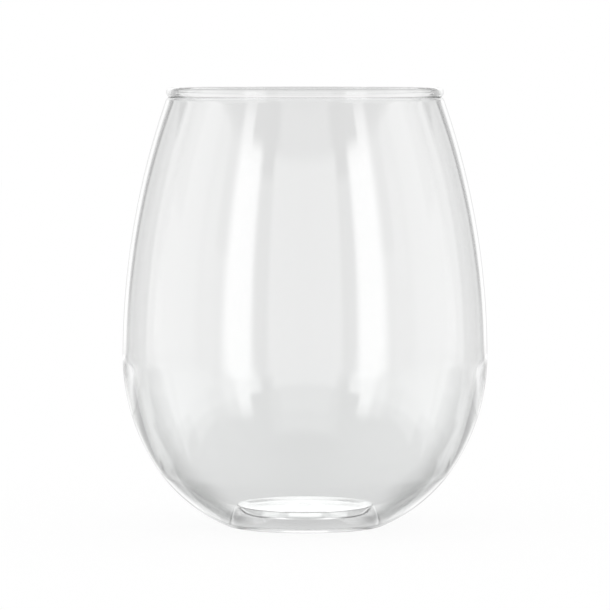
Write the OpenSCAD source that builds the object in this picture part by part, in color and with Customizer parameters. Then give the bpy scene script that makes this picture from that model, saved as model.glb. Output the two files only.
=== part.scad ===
// Stemless wine glass, blown in one piece and standing on its own foot.
// The origin is on the table under the middle of the glass, and Z points up.
// Half of the section through the wall is drawn to the right of the axis and turned once round it.

/* [Overall] */

// Height of the glass from the table to the top of the rim
glass_h = 114; // [100:0.5:130]
// Largest gap left between a round form and the straight steps that draw it
step_gap = 0.01; // [0.005:0.005:0.05]

/* [Bowl] */

// Outer diameter of the bowl at its widest
belly_d = 94.8; // [86:0.2:104]
// Height of the widest place above the table
belly_h = 44.3; // [40:0.1:52]
// Angle between the wall and the table where the bowl runs into the flatter heel
heel_slope = 57; // [50:0.5:62]
// Thickness of the wall at the widest place, where the glass was blown thinnest
belly_wall = 1; // [0.8:0.05:1.4]
// Angle between the wall and the table where the wall is thickest, low in the bowl
thick_slope = 71; // [69:0.5:73]
// Thickness of the wall there
thick_wall = 2.1; // [1.8:0.05:2.3]
// Angle between the wall and the table where the wall has thinned again, in the heel
thin_slope = 52; // [49:0.5:54]
// Thickness of the wall there
thin_wall = 1.2; // [1.1:0.05:1.5]

/* [Rim] */

// Outer diameter of the rounded bead round the rim
rim_d = 72; // [64:0.1:78]
// Thickness of the bead
bead_d = 2.5; // [2:0.1:3]
// Depth of the groove under the bead, in from the outside of the bead
groove_depth = 0.6; // [0.3:0.05:1]
// Height of the straight bottom of the groove
groove_h = 0.25; // [0.1:0.05:0.5]
// Thickness of the wall across the groove
groove_wall = 1; // [0.8:0.05:1.4]
// How far the shoulder under the groove stands out past the bead
shoulder_out = 0.2; // [0:0.05:0.5]
// Radius that rounds the shoulder
shoulder_r = 1.5; // [1.2:0.1:2]

/* [Foot] */

// Diameter at which the heel would meet the table with no round between them
foot_d = 39.8; // [34:0.2:46]
// Angle between the heel and the table there
foot_slope = 22; // [16:0.5:28]
// Radius that rounds the heel into the foot
foot_round = 3; // [1:0.5:5]
// Width of the flat ring that the glass stands on
ring_w = 1.5; // [0.8:0.1:2.5]
// Height of the shallow hollow under the foot at its middle
hollow_h = 0.1; // [0.1:0.1:0.4]

/* [Floor] */

// How far the bottom of the moat round the raised floor lies outside the edge of the foot
moat_past = 0.6; // [0.2:0.1:1]
// Height of the bottom of the moat above the table
moat_h = 1.1; // [0.9:0.1:1.4]
// Angle between the inside of the heel and the table at the moat
moat_slope = 27; // [24:0.5:29]
// Radius that rounds the bottom of the moat
moat_round = 1; // [0.6:0.1:1.4]
// Height of the raised floor above the bottom of the moat
floor_rise = 4.5; // [3.5:0.1:5]
// Distance that the side of the raised floor leans in on its way up
floor_lean = 2.8; // [2:0.1:3.2]
// Radius that rounds the edge of the raised floor
floor_round = 0.5; // [0.4:0.1:1]

/* [Hidden] */

// Steps round the glass that keep its widest circle within the gap
$fn = ceil(180 / acos(1 - 2 * step_gap / belly_d));

clear_colour = "azure";
clear_alpha = 0.35;

// Way that a wall faces, down and out, at an angle to the table
function face(slope) = [sin(slope), -cos(slope)];

// Way from the centre c of a circle to a point p
function facing(c, p) = (p - c) / norm(p - c);

// Outward side of a circle at height h
function side_at(c, r, h) = [c[0] + sqrt(pow(r, 2) - pow(h - c[1], 2)), h];

// Under side of a circle at distance x from the axis
function under_side_at(c, r, x) = [x, c[1] - sqrt(pow(r, 2) - pow(x - c[0], 2))];

// Radius of an arc that starts upright at p and ends at q
function upright_r(p, q) = (p - q) * (p - q) / (2 * (p[0] - q[0]));

// Radius of an arc that starts upright at p and touches the inside of its circle to a round with centre c
function upright_r_to_round(p, c, r) = ((p - c) * (p - c) - pow(r, 2)) / (2 * (p[0] - c[0] - r));

// Radii of two arcs that run smoothly from p to q and face a at p, m where they join, and b at q
function two_r(p, q, a, m, b) = [cross(q - p, b - m), cross(m - a, q - p)] / cross(m - a, b - m);

// Two arcs that run smoothly from p, where they face a, to q, where they face b, and join half way in
// their turn: the first centre, the join, the second centre and the second radius
function two_arcs(p, q, a, b) =
  let (m = (a + b) / norm(a + b), r = two_r(p, q, a, m, b), c = p - a * r[0])
  [c, c + m * r[0], q - b * r[1], r[1]];

// Centre of a round of radius f inside a circle, touching it and the line that runs from p along u
function round_c(c, r, f, p, u) =
  let (side = p + f * [u[1], -u[0]], away = side - c)
  side - u * (away * u + sqrt(pow(away * u, 2) - away * away + pow(r - f, 2)));

// Steps along an arc round c, from its point p the shorter way to its point q, with q itself left out
function arc(c, p, q) =
  let (
    r = norm(p - c),
    from = atan2(p[1] - c[1], p[0] - c[0]),
    turn = atan2(cross(p - c, q - c), (p - c) * (q - c)),
    steps = ceil(abs(turn) / (2 * acos(1 - step_gap / r)))
  )
  [for (i = [0:steps - 1]) c + r * [cos(from + turn * i / steps), sin(from + turn * i / steps)]];

// Outside from the widest place down to the foot
belly = [belly_d / 2, belly_h];
foot = [foot_d / 2, 0];
lower_and_heel_r = two_r(belly, foot, face(90), face(heel_slope), face(foot_slope));
lower_c = belly - face(90) * lower_and_heel_r[0];
heel = lower_c + face(heel_slope) * lower_and_heel_r[0];
heel_c = heel - face(heel_slope) * lower_and_heel_r[1];
foot_c = side_at(heel_c, lower_and_heel_r[1] - foot_round, foot_round);
foot_low = foot_c - [0, foot_round];
foot_high = foot_c + facing(heel_c, foot_c) * foot_round;

// Shallow dome under the foot
hollow_edge = foot_low - [ring_w, 0];
hollow_top = [0, hollow_h];
hollow_c = [0, (pow(hollow_h, 2) - pow(hollow_edge[0], 2)) / (2 * hollow_h)];

// Bead, groove and shoulder
bead_r = bead_d / 2;
bead_c = [rim_d / 2 - bead_r, glass_h - bead_r];
bead_top = bead_c + [0, bead_r];
groove_x = rim_d / 2 - groove_depth;
bead_out = under_side_at(bead_c, bead_r, groove_x);
bead_in = under_side_at(bead_c, bead_r, groove_x - groove_wall);
groove_low = bead_out - [0, groove_h];
shoulder_x = rim_d / 2 + shoulder_out - shoulder_r;
shoulder_c = [shoulder_x, groove_low[1] - sqrt(pow(shoulder_r, 2) - pow(groove_x - shoulder_x, 2))];

// Outside from the widest place up to the shoulder
upper_c = belly - face(90) * upright_r_to_round(belly, shoulder_c, shoulder_r);
mouth = shoulder_c + facing(upper_c, shoulder_c) * shoulder_r;

// Inside from the widest place up to the bead
belly_in = belly - face(90) * belly_wall;
upper_in_c = belly_in - face(90) * upright_r(belly_in, bead_in);

// Inside from the widest place down over the thick and the thin place to the moat
thick = lower_c + face(thick_slope) * (lower_and_heel_r[0] - thick_wall);
thin = heel_c + face(thin_slope) * (lower_and_heel_r[1] - thin_wall);
moat = foot + [moat_past, moat_h];
to_thick = two_arcs(belly_in, thick, face(90), face(thick_slope));
to_thin = two_arcs(thick, thin, face(thick_slope), face(thin_slope));
to_moat = two_arcs(thin, moat, face(thin_slope), face(moat_slope));

// Raised floor, its rounded edge and the round at the bottom of the moat
floor_edge = moat + [-floor_lean, floor_rise];
side_way = (floor_edge - moat) / norm(floor_edge - moat);
side_face = [side_way[1], -side_way[0]];
floor_c = floor_edge - floor_round * [(1 + side_way[0]) / side_way[1], 1];
moat_c = round_c(to_moat[2], to_moat[3], moat_round, moat, side_way);
moat_out = moat_c + facing(to_moat[2], moat_c) * moat_round;
moat_side = moat_c - side_face * moat_round;

// Under the foot, up the outside, over the bead, down the inside and across the raised floor
section = concat(
  arc(hollow_c, hollow_top, hollow_edge),
  [hollow_edge],
  arc(foot_c, foot_low, foot_high),
  arc(heel_c, foot_high, heel),
  arc(lower_c, heel, belly),
  arc(upper_c, belly, mouth),
  arc(shoulder_c, mouth, groove_low),
  [groove_low],
  arc(bead_c, bead_out, bead_top),
  arc(bead_c, bead_top, bead_in),
  arc(upper_in_c, bead_in, belly_in),
  arc(to_thick[0], belly_in, to_thick[1]),
  arc(to_thick[2], to_thick[1], thick),
  arc(to_thin[0], thick, to_thin[1]),
  arc(to_thin[2], to_thin[1], thin),
  arc(to_moat[0], thin, to_moat[1]),
  arc(to_moat[2], to_moat[1], moat_out),
  arc(moat_c, moat_out, moat_side),
  [moat_side],
  arc(floor_c, floor_c + side_face * floor_round, floor_c + [0, floor_round]),
  [floor_c + [0, floor_round], [0, floor_edge[1]]]
);

// The bowl, its rim and its foot are one piece of glass
module glass() {
  color(clear_colour, clear_alpha)
    rotate_extrude(angle = 360)
      polygon(section);
}

glass();
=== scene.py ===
"""A stemless wine glass of clear blown glass, standing on a white table in a plain studio."""

import math

import bpy
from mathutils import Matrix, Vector


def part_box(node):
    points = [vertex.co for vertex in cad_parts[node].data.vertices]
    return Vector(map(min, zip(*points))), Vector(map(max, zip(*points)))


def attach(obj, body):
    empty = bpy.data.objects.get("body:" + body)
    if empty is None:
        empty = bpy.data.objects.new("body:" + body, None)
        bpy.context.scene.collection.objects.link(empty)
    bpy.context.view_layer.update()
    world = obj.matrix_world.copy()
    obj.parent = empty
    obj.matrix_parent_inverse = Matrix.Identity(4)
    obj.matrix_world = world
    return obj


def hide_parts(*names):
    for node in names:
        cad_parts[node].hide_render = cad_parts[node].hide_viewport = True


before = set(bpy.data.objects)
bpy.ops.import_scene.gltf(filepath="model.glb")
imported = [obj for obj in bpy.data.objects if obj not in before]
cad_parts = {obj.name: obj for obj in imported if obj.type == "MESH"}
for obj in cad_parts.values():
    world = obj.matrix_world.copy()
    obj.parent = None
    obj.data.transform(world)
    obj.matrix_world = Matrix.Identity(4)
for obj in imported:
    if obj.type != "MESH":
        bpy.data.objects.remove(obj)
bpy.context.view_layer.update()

# Sizes of the glass, in metres, named as in its drawing

MM = 0.001

GLASS_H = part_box("glass")[1].z
BELLY_D = 94.8 * MM
BELLY_H = 44.3 * MM
BELLY_WALL = 1.0 * MM
HEEL_SLOPE = 57.0
THICK_SLOPE = 71.0
THICK_WALL = 2.1 * MM
THIN_SLOPE = 52.0
THIN_WALL = 1.2 * MM

RIM_D = 72.0 * MM
BEAD_D = 2.5 * MM
GROOVE_DEPTH = 0.6 * MM
GROOVE_H = 0.25 * MM
GROOVE_WALL = 1.0 * MM
SHOULDER_OUT = 0.2 * MM
SHOULDER_R = 1.5 * MM

FOOT_D = 39.8 * MM
FOOT_SLOPE = 22.0
FOOT_ROUND = 3.0 * MM
RING_W = 1.5 * MM
HOLLOW_H = 0.1 * MM

MOAT_PAST = 0.6 * MM
MOAT_H = 1.1 * MM
MOAT_SLOPE = 27.0
MOAT_ROUND = 1.0 * MM
FLOOR_RISE = 4.5 * MM
FLOOR_LEAN = 2.8 * MM
FLOOR_ROUND = 0.5 * MM

# How finely the glass is turned, so that its rounds bend light smoothly
STEPS_ROUND = 256
LONGEST_STEP = 1.0 * MM
WIDEST_TURN = 6.0
CREASE_ANGLE = 30.0
JOIN_DISTANCE = 0.001 * MM


# The section through the wall, as points of distance from the axis and height

UPRIGHT = 90.0


def face(slope):
    """The way that a wall faces, down and out, at an angle to the table."""
    angle = math.radians(slope)
    return Vector((math.sin(angle), -math.cos(angle)))


def facing(centre, point):
    """The way from the centre of a circle to a point."""
    return (point - centre).normalized()


def side_at(centre, radius, height):
    """The outward side of a circle at a height."""
    return Vector((centre.x + math.sqrt(radius**2 - (height - centre.y) ** 2), height))


def under_side_at(centre, radius, x):
    """The under side of a circle at a distance from the axis."""
    return Vector((x, centre.y - math.sqrt(radius**2 - (x - centre.x) ** 2)))


def upright_r(start, end):
    """Radius of an arc that leaves its start upright and reaches its end."""
    way = start - end
    return way.dot(way) / (2 * way.x)


def upright_r_to_round(start, centre, radius):
    """Radius of an arc that leaves its start upright and runs into a round."""
    way = start - centre
    return (way.dot(way) - radius**2) / (2 * (way.x - radius))


def two_radii(start, end, face_start, face_join, face_end):
    """Radii of two arcs that run smoothly from start to end, facing these three ways."""
    way = end - start
    first, second = face_join - face_start, face_end - face_join
    scale = first.cross(second)
    return way.cross(second) / scale, first.cross(way) / scale


def round_centre(centre, radius, small, point, along):
    """Centre of a small round inside a circle that touches it and the line from point along a way."""
    side = point + small * Vector((along.y, -along.x))
    away = side - centre
    reach = away.dot(along)
    return side - along * (reach + math.sqrt(reach**2 - away.dot(away) + (radius - small) ** 2))


def arc(centre, start, end):
    """Points along an arc the shorter way round, with the end left out."""
    a, b = start - centre, end - centre
    radius = a.length
    first = math.atan2(a.y, a.x)
    turn = math.atan2(a.cross(b), a.dot(b))
    steps = math.ceil(max(abs(turn) * radius / LONGEST_STEP, abs(math.degrees(turn)) / WIDEST_TURN))
    angles = [first + turn * i / steps for i in range(steps)]
    return [centre + radius * Vector((math.cos(t), math.sin(t))) for t in angles]


def two_arcs(start, end, face_start, face_end):
    """Two arcs that run smoothly from start to end and join half way in their turn.

    Gives the first centre, the join, the second centre and the second radius.
    """
    face_join = (face_start + face_end).normalized()
    first_r, second_r = two_radii(start, end, face_start, face_join, face_end)
    first_c = start - face_start * first_r
    return first_c, first_c + face_join * first_r, end - face_end * second_r, second_r


def straight(start, end):
    """Points along a straight stretch, with the end left out."""
    steps = math.ceil((end - start).length / LONGEST_STEP)
    return [start.lerp(end, i / steps) for i in range(steps)]


def glass_section():
    """Under the foot, up the outside, over the bead, down the inside and across the raised floor."""
    # Outside from the widest place down to the foot
    belly = Vector((BELLY_D / 2, BELLY_H))
    foot = Vector((FOOT_D / 2, 0))
    lower_r, heel_r = two_radii(belly, foot, face(UPRIGHT), face(HEEL_SLOPE), face(FOOT_SLOPE))
    lower_c = belly - face(UPRIGHT) * lower_r
    heel = lower_c + face(HEEL_SLOPE) * lower_r
    heel_c = heel - face(HEEL_SLOPE) * heel_r
    foot_c = side_at(heel_c, heel_r - FOOT_ROUND, FOOT_ROUND)
    foot_low = foot_c - Vector((0, FOOT_ROUND))
    foot_high = foot_c + facing(heel_c, foot_c) * FOOT_ROUND

    # Shallow dome under the foot
    hollow_edge = foot_low - Vector((RING_W, 0))
    hollow_top = Vector((0, HOLLOW_H))
    hollow_c = Vector((0, (HOLLOW_H**2 - hollow_edge.x**2) / (2 * HOLLOW_H)))

    # Bead, groove and shoulder
    bead_r = BEAD_D / 2
    bead_c = Vector((RIM_D / 2 - bead_r, GLASS_H - bead_r))
    bead_top = bead_c + Vector((0, bead_r))
    groove_x = RIM_D / 2 - GROOVE_DEPTH
    bead_out = under_side_at(bead_c, bead_r, groove_x)
    bead_in = under_side_at(bead_c, bead_r, groove_x - GROOVE_WALL)
    groove_low = bead_out - Vector((0, GROOVE_H))
    shoulder_x = RIM_D / 2 + SHOULDER_OUT - SHOULDER_R
    shoulder_drop = math.sqrt(SHOULDER_R**2 - (groove_x - shoulder_x) ** 2)
    shoulder_c = Vector((shoulder_x, groove_low.y - shoulder_drop))

    # The long wall between the widest place and the rim, outside and inside
    upper_c = belly - face(UPRIGHT) * upright_r_to_round(belly, shoulder_c, SHOULDER_R)
    mouth = shoulder_c + facing(upper_c, shoulder_c) * SHOULDER_R
    belly_in = belly - face(UPRIGHT) * BELLY_WALL
    upper_in_c = belly_in - face(UPRIGHT) * upright_r(belly_in, bead_in)

    # Inside from the widest place past the thickest and the thinnest place of the wall down to the moat
    thick = lower_c + face(THICK_SLOPE) * (lower_r - THICK_WALL)
    thin = heel_c + face(THIN_SLOPE) * (heel_r - THIN_WALL)
    moat = foot + Vector((MOAT_PAST, MOAT_H))
    belly_face, thick_face, thin_face = face(UPRIGHT), face(THICK_SLOPE), face(THIN_SLOPE)
    turn_c, turn, thick_c, _ = two_arcs(belly_in, thick, belly_face, thick_face)
    fall_c, fall, thin_c, _ = two_arcs(thick, thin, thick_face, thin_face)
    heel_in_c, heel_in, moat_wall_c, moat_wall_r = two_arcs(thin, moat, thin_face, face(MOAT_SLOPE))

    # Raised floor, its rounded edge and the round at the bottom of the moat
    floor_edge = moat + Vector((-FLOOR_LEAN, FLOOR_RISE))
    side_way = (floor_edge - moat).normalized()
    side_face = Vector((side_way.y, -side_way.x))
    floor_c = floor_edge - FLOOR_ROUND * Vector(((1 + side_way.x) / side_way.y, 1))
    floor_flat = floor_c + Vector((0, FLOOR_ROUND))
    moat_c = round_centre(moat_wall_c, moat_wall_r, MOAT_ROUND, moat, side_way)
    moat_out = moat_c + facing(moat_wall_c, moat_c) * MOAT_ROUND
    moat_side = moat_c - side_face * MOAT_ROUND
    floor_side = floor_c + side_face * FLOOR_ROUND
    floor_middle = Vector((0, floor_edge.y))

    return [
        *arc(hollow_c, hollow_top, hollow_edge),
        *straight(hollow_edge, foot_low),
        *arc(foot_c, foot_low, foot_high),
        *arc(heel_c, foot_high, heel),
        *arc(lower_c, heel, belly),
        *arc(upper_c, belly, mouth),
        *arc(shoulder_c, mouth, groove_low),
        *straight(groove_low, bead_out),
        *arc(bead_c, bead_out, bead_top),
        *arc(bead_c, bead_top, bead_in),
        *arc(upper_in_c, bead_in, belly_in),
        *arc(turn_c, belly_in, turn),
        *arc(thick_c, turn, thick),
        *arc(fall_c, thick, fall),
        *arc(thin_c, fall, thin),
        *arc(heel_in_c, thin, heel_in),
        *arc(moat_wall_c, heel_in, moat_out),
        *arc(moat_c, moat_out, moat_side),
        *straight(moat_side, floor_side),
        *arc(floor_c, floor_side, floor_flat),
        *straight(floor_flat, floor_middle),
        floor_middle,
    ]


# Short ways to add and join nodes

def add(tree, kind, inputs=None, **settings):
    """A node of this kind, its settings set and its inputs given as numbers or as sockets to join."""
    node = tree.nodes.new(kind)
    for name, value in settings.items():
        setattr(node, name, value)
    for name, value in (inputs or {}).items():
        if isinstance(value, bpy.types.NodeSocket):
            tree.links.new(value, node.inputs[name])
        else:
            node.inputs[name].default_value = value
    return node


def maths(tree, operation, *values):
    """The result of one sum on numbers or sockets."""
    inputs = dict(enumerate(values))
    return add(tree, "ShaderNodeMath", inputs, operation=operation).outputs[0]


# Turning the section once round the axis

def turning_tree():
    """Geometry nodes that turn a line of points once round Z into a closed skin."""
    tree = bpy.data.node_groups.new("turn round the axis", "GeometryNodeTree")
    socket = tree.interface.new_socket
    socket("Section", in_out="INPUT", socket_type="NodeSocketGeometry")
    socket("Steps Round", in_out="INPUT", socket_type="NodeSocketInt")
    socket("Crease Angle", in_out="INPUT", socket_type="NodeSocketFloat")
    socket("Join Distance", in_out="INPUT", socket_type="NodeSocketFloat")
    socket("Finish", in_out="INPUT", socket_type="NodeSocketMaterial")
    socket("Skin", in_out="OUTPUT", socket_type="NodeSocketGeometry")
    given = tree.nodes.new("NodeGroupInput").outputs

    # A flat grid with one row of vertices for each step round and one column for each point of the section
    size = add(tree, "GeometryNodeAttributeDomainSize", {"Geometry": given["Section"]}, component="MESH")
    count = size.outputs["Point Count"]
    rows = maths(tree, "ADD", given["Steps Round"], 1.0)
    grid = add(tree, "GeometryNodeMeshGrid", {"Vertices X": rows, "Vertices Y": count})

    # Each vertex takes the place of its point of the section, turned by its step
    index = tree.nodes.new("GeometryNodeInputIndex").outputs[0]
    step = maths(tree, "FLOOR", maths(tree, "DIVIDE", index, count))
    point = maths(tree, "SUBTRACT", index, maths(tree, "MULTIPLY", step, count))
    sample = add(
        tree,
        "GeometryNodeSampleIndex",
        {"Geometry": given["Section"], "Index": point},
        data_type="FLOAT_VECTOR",
    )
    tree.links.new(tree.nodes.new("GeometryNodeInputPosition").outputs[0], sample.inputs["Value"])
    turn = maths(tree, "DIVIDE", maths(tree, "MULTIPLY", step, 2 * math.pi), given["Steps Round"])
    turned = add(
        tree,
        "ShaderNodeVectorRotate",
        {"Vector": sample.outputs["Value"], "Angle": turn},
        rotation_type="Z_AXIS",
    )
    placed = add(
        tree,
        "GeometryNodeSetPosition",
        {"Geometry": grid.outputs["Mesh"], "Position": turned.outputs[0]},
    )

    # The seam and the two poles are closed, and only true edges stay sharp
    closed = add(
        tree,
        "GeometryNodeMergeByDistance",
        {"Geometry": placed.outputs[0], "Distance": given["Join Distance"]},
    )
    smooth = add(tree, "GeometryNodeSetShadeSmooth", {"Geometry": closed.outputs[0]}, domain="FACE")
    bend = tree.nodes.new("GeometryNodeInputMeshEdgeAngle").outputs["Unsigned Angle"]
    angles = {"A": bend, "B": given["Crease Angle"]}
    crease = add(tree, "FunctionNodeCompare", angles, operation="GREATER_THAN")
    creased = add(
        tree,
        "GeometryNodeSetShadeSmooth",
        {"Geometry": smooth.outputs[0], "Selection": crease.outputs[0], "Shade Smooth": False},
        domain="EDGE",
    )
    whole = add(tree, "GeometryNodeRealizeInstances", {"Geometry": creased.outputs[0]})
    coat = {"Geometry": whole.outputs[0], "Material": given["Finish"]}
    finished = add(tree, "GeometryNodeSetMaterial", coat)
    result = tree.nodes.new("NodeGroupOutput")
    tree.links.new(finished.outputs[0], result.inputs["Skin"])
    return tree


def turned_piece(name, section, finish):
    """A piece of glass turned from its section, as a plain mesh."""
    line = bpy.data.meshes.new(name + " section")
    points = [(p.x, 0, p.y) for p in section]
    line.from_pydata(points, [(i, i + 1) for i in range(len(points) - 1)], [])
    lathe = bpy.data.objects.new(name + " lathe", line)
    bpy.context.scene.collection.objects.link(lathe)

    modifier = lathe.modifiers.new("turning", "NODES")
    modifier.node_group = turning_tree()
    inputs = modifier.node_group.interface.items_tree
    values = {
        "Steps Round": STEPS_ROUND,
        "Crease Angle": math.radians(CREASE_ANGLE),
        "Join Distance": JOIN_DISTANCE,
        "Finish": finish,
    }
    for item in inputs:
        if item.in_out == "INPUT" and item.name in values:
            modifier[item.identifier] = values[item.name]

    graph = bpy.context.evaluated_depsgraph_get()
    mesh = bpy.data.meshes.new_from_object(lathe.evaluated_get(graph))
    mesh.name = name
    bpy.data.objects.remove(lathe)
    piece = bpy.data.objects.new(name, mesh)
    bpy.context.scene.collection.objects.link(piece)
    return piece


# Clear glass

GLASS_IOR = 1.5
THIN_COLOUR = (0.997, 0.999, 0.998, 1.0)
THICK_COLOUR = (0.985, 0.991, 0.989, 1.0)
THICK_BELOW = 30.0 * MM
THIN_ABOVE = 50.0 * MM
WAVE_LENGTH = 14.0 * MM
WAVE_STRETCH = 3.0
WAVE_DEPTH = 0.012 * MM
WAVE_DETAIL = 1.0
SHADOW_COLOUR = (0.97, 0.975, 0.973, 1.0)

# Places of the two colours among the inputs of a mix node, and of their mix among its outputs
MIX_FIRST, MIX_SECOND, MIX_RESULT = 6, 7, 2


def clear_glass():
    """Blown glass: clear, polished by the flame, with the faint waves that blowing leaves."""
    material = bpy.data.materials.new("clear_glass")
    material.use_nodes = True
    tree = material.node_tree
    tree.nodes.clear()
    place = tree.nodes.new("ShaderNodeTexCoord").outputs["Object"]

    # The thick wall low in the bowl holds back a little more light than the thin one above it
    height = add(tree, "ShaderNodeSeparateXYZ", {"Vector": place}).outputs["Z"]
    ends = {"Value": height, "From Min": THICK_BELOW, "From Max": THIN_ABOVE}
    thinness = add(tree, "ShaderNodeMapRange", ends, interpolation_type="SMOOTHSTEP").outputs[0]
    colours = {"Factor": thinness, MIX_FIRST: THICK_COLOUR, MIX_SECOND: THIN_COLOUR}
    tint = add(tree, "ShaderNodeMix", colours, data_type="RGBA")

    # Long upright waves, too shallow to feel, that only show in the edges of reflections
    stretch = (1 / WAVE_LENGTH, 1 / WAVE_LENGTH, 1 / (WAVE_LENGTH * WAVE_STRETCH))
    waves = add(tree, "ShaderNodeVectorMath", {0: place, 1: stretch}, operation="MULTIPLY")
    swells = {"Vector": waves.outputs[0], "Scale": 1.0, "Detail": WAVE_DETAIL}
    swell = add(tree, "ShaderNodeTexNoise", swells)
    surface = add(tree, "ShaderNodeBump", {"Height": swell.outputs["Fac"], "Distance": WAVE_DEPTH})

    glassy = add(
        tree,
        "ShaderNodeBsdfPrincipled",
        {
            "Base Color": tint.outputs[MIX_RESULT],
            "Metallic": 0.0,
            "Roughness": 0.0,
            "IOR": GLASS_IOR,
            "Transmission Weight": 1.0,
            "Normal": surface.outputs[0],
        },
    )
    lets_through = add(tree, "ShaderNodeBsdfTransparent", {"Color": SHADOW_COLOUR})
    shadow_ray = tree.nodes.new("ShaderNodeLightPath").outputs["Is Shadow Ray"]
    either = {0: shadow_ray, 1: glassy.outputs[0], 2: lets_through.outputs[0]}
    mix = add(tree, "ShaderNodeMixShader", either)
    add(tree, "ShaderNodeOutputMaterial", {"Surface": mix.outputs[0]})
    return material


# The glass itself

glass = turned_piece("wine_glass", glass_section(), clear_glass())
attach(glass, "root")
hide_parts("glass")

# Floor, studio and camera

WHITE = (1.0, 1.0, 1.0, 1.0)
FLOOR_R = 3.0
FLOOR_STEPS = 64
FLOOR_GLOW = 0.9


def white_floor():
    """A round white table top, wider than the picture, with most of its light coming up through it."""
    mesh = bpy.data.meshes.new("floor")
    angles = [2 * math.pi * i / FLOOR_STEPS for i in range(FLOOR_STEPS)]
    ring = [(FLOOR_R * math.cos(angle), FLOOR_R * math.sin(angle), 0) for angle in angles]
    mesh.from_pydata(ring, [], [range(FLOOR_STEPS)])
    floor = bpy.data.objects.new("floor", mesh)
    bpy.context.scene.collection.objects.link(floor)
    material = bpy.data.materials.new("white floor")
    material.use_nodes = True
    tree = material.node_tree
    tree.nodes.clear()
    top = add(tree, "ShaderNodeBsdfDiffuse", {"Color": WHITE})
    glow = add(tree, "ShaderNodeEmission", {"Color": WHITE, "Strength": 1.0})
    white = add(tree, "ShaderNodeMixShader", {0: FLOOR_GLOW, 1: top.outputs[0], 2: glow.outputs[0]})
    # Light bent or mirrored by the glass meets the studio's own sweep, not this table
    clear = add(tree, "ShaderNodeBsdfTransparent")
    light = tree.nodes.new("ShaderNodeLightPath").outputs
    by_glass = maths(tree, "MAXIMUM", light["Is Glossy Ray"], light["Is Transmission Ray"])
    mix = add(tree, "ShaderNodeMixShader", {0: by_glass, 1: white.outputs[0], 2: clear.outputs[0]})
    add(tree, "ShaderNodeOutputMaterial", {"Surface": mix.outputs[0]})
    mesh.materials.append(material)


# A card of the studio has its turn, its lift, its brightness and the softness of its edges, and lies over
# those before it. The turn is in degrees round from the camera, to the left and to the right alike, and
# the lift in degrees up from level. The glass bends light from the first set of cards and mirrors the
# second, as if the backdrop were lit apart from the strips and panels round the camera.
CAMERA_WALL = (0, 24)
STRIPS = (34, 54)
PANELS = (66, 100)
FLAGS = (120, 156)
ALL_ROUND = (0, 180)
DEEP_LIFT = -42
LOW_LIFT = -30
HIGH_LIFT = 30
TOP_LIFT = 42

THROUGH_ROOM = 1.00
THROUGH = {
    "front of the room": ((0, 115), (-90, 90), 0.80, 8),
    "low sweep": ((120, 180), (-90, -25), 0.70, 8),
    "dark side flags": ((150, 168), (-2, 10), 0.00, 1),
    "backdrop": ((177, 180), (LOW_LIFT, 25), 0.72, 10),
    "high sweep": ((90, 180), (35, 90), 0.60, 10),
}
MIRRORED_ROOM = 1.00
MIRRORED = {
    "ceiling": (ALL_ROUND, (25, 90), 0.00, 1),
    "table": (ALL_ROUND, (-90, -15), 0.65, 1),
    "bright far table": ((140, 156), (-90, -25), 1.60, 1),
    "dark table sides": ((115, 172), (-50, -10), 0.00, 8),
    "far side walls": (FLAGS, (-20, 20), 0.55, 1),
    "low side flags": ((130, 168), (LOW_LIFT, -4), 0.50, 1),
    "side panels": (PANELS, (LOW_LIFT, HIGH_LIFT), 1.05, 1),
    "high side flags": (FLAGS, (16, TOP_LIFT), 0.00, 1),
    "space outside the strips": ((44, 75), (-12, HIGH_LIFT), 0.90, 3),
    "strip lights": (STRIPS, (LOW_LIFT, 35), 2.00, 3),
    "space inside the strips": ((14, 34), (DEEP_LIFT, 25), 0.65, 3),
    "camera wall": (CAMERA_WALL, (DEEP_LIFT, HIGH_LIFT), 1.05, 2),
    "dark corners over the strips": ((22, 44), (HIGH_LIFT, 50), 0.00, 1),
    "band over the camera wall": ((0, 20), (HIGH_LIFT, TOP_LIFT), 0.40, 2),
    "sweep behind the glass": ((162, 180), (-55, 55), 1.05, 7),
    "low sweep behind the glass": ((170, 180), (LOW_LIFT, 5), 0.70, 1),
    "bright line behind the foot": ((172, 180), (5, 11), 1.50, 1),
}

# A card that ends at the camera, right behind the glass, straight down or straight up has no edge there,
# so that end is pushed out of reach of the softness
OPEN_TURNS = {0: -90, 180: 270}
OPEN_LIFTS = {-90: -180, 90: 180}

# Brightness of the studio where the glass neither bends nor mirrors it
PLAIN_ROOM = 1.00

# Bounces are counted whole, so half a one tells none from some
HALF_BOUNCE = 0.5


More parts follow.
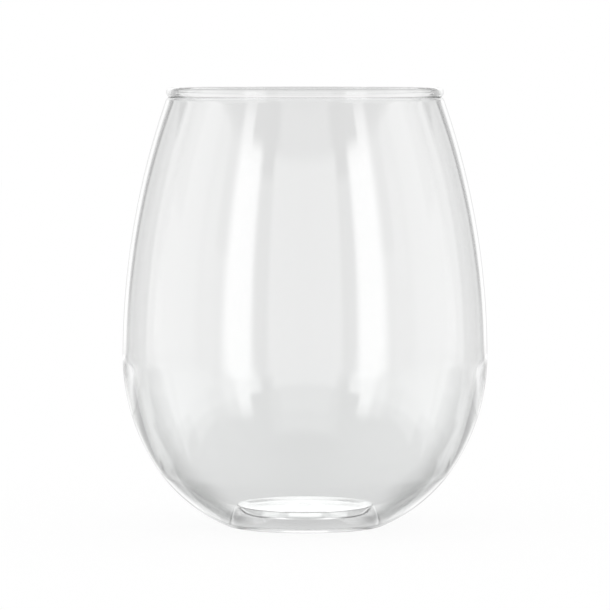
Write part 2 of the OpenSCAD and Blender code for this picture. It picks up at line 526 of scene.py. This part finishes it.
def studio_light():
    """A pale room with dark cards and bright strips in it, which the glass mirrors and bends."""
    world = bpy.data.worlds.new("studio")
    bpy.context.scene.world = world
    world.use_nodes = True
    tree = world.node_tree
    tree.nodes.clear()

    way = tree.nodes.new("ShaderNodeTexCoord").outputs["Generated"]
    xyz = add(tree, "ShaderNodeSeparateXYZ", {"Vector": way}).outputs
    across = maths(tree, "ABSOLUTE", xyz["X"])
    towards = maths(tree, "MULTIPLY", xyz["Y"], -1.0)
    turn = maths(tree, "MULTIPLY", maths(tree, "ARCTAN2", across, towards), 180 / math.pi)
    lift = maths(tree, "MULTIPLY", maths(tree, "ARCSINE", xyz["Z"]), 180 / math.pi)

    def inside(angle, span, soft):
        """1 between two angles and 0 outside, with soft ends."""
        ends = []
        for edge in span:
            inputs = {"Value": angle, "From Min": edge - soft, "From Max": edge + soft}
            ends.append(add(tree, "ShaderNodeMapRange", inputs, interpolation_type="SMOOTHSTEP").outputs[0])
        return maths(tree, "SUBTRACT", ends[0], ends[1])

    def lit(room, cards):
        """Brightness of a room with its cards laid over it in turn."""
        level = room
        for turns, lifts, bright, soft in cards.values():
            turns = [OPEN_TURNS.get(edge, edge) for edge in turns]
            lifts = [OPEN_LIFTS.get(edge, edge) for edge in lifts]
            card = maths(tree, "MULTIPLY", inside(turn, turns, soft), inside(lift, lifts, soft))
            level = add(tree, "ShaderNodeMix", {"Factor": card, "A": level, "B": bright}).outputs[0]
        return level

    # Light that the glass mirrored even once counts as mirrored, and the rest that came through it as bent
    light = tree.nodes.new("ShaderNodeLightPath").outputs
    mirrored = maths(tree, "GREATER_THAN", light["Glossy Depth"], HALF_BOUNCE)
    bent = maths(tree, "GREATER_THAN", light["Transmission Depth"], HALF_BOUNCE)
    through = {"Factor": bent, "A": PLAIN_ROOM, "B": lit(THROUGH_ROOM, THROUGH)}
    behind = add(tree, "ShaderNodeMix", through).outputs[0]
    around = {"Factor": mirrored, "A": behind, "B": lit(MIRRORED_ROOM, MIRRORED)}
    seen = add(tree, "ShaderNodeMix", around).outputs[0]
    studio = add(tree, "ShaderNodeBackground", {"Color": WHITE, "Strength": seen})
    add(tree, "ShaderNodeOutputWorld", {"Surface": studio.outputs[0]})


# The photograph's view: a long lens a little above the rim
CAMERA_AWAY = 1.1449
CAMERA_H = 0.1227
LOOK_H = 0.0575
LENS = 260.23
SENSOR = 36.0
SIGHT = 20.0

# Light goes round many times inside the thick wall before it comes out
BOUNCES = 64


def portrait_camera():
    """The camera, a little above the rim and tipped a little down."""
    data = bpy.data.cameras.new("camera")
    data.lens = LENS
    data.sensor_width = SENSOR
    data.clip_end = SIGHT
    camera = bpy.data.objects.new("camera", data)
    camera.location = (0, -CAMERA_AWAY, CAMERA_H)
    camera.rotation_euler = (math.pi / 2 - math.atan2(CAMERA_H - LOOK_H, CAMERA_AWAY), 0, 0)
    bpy.context.scene.collection.objects.link(camera)
    bpy.context.scene.camera = camera


white_floor()
studio_light()
portrait_camera()
bpy.context.scene.view_settings.view_transform = "Standard"
cycles = bpy.context.scene.cycles
cycles.max_bounces = BOUNCES
cycles.transmission_bounces = BOUNCES
cycles.glossy_bounces = BOUNCES
cycles.transparent_max_bounces = BOUNCES
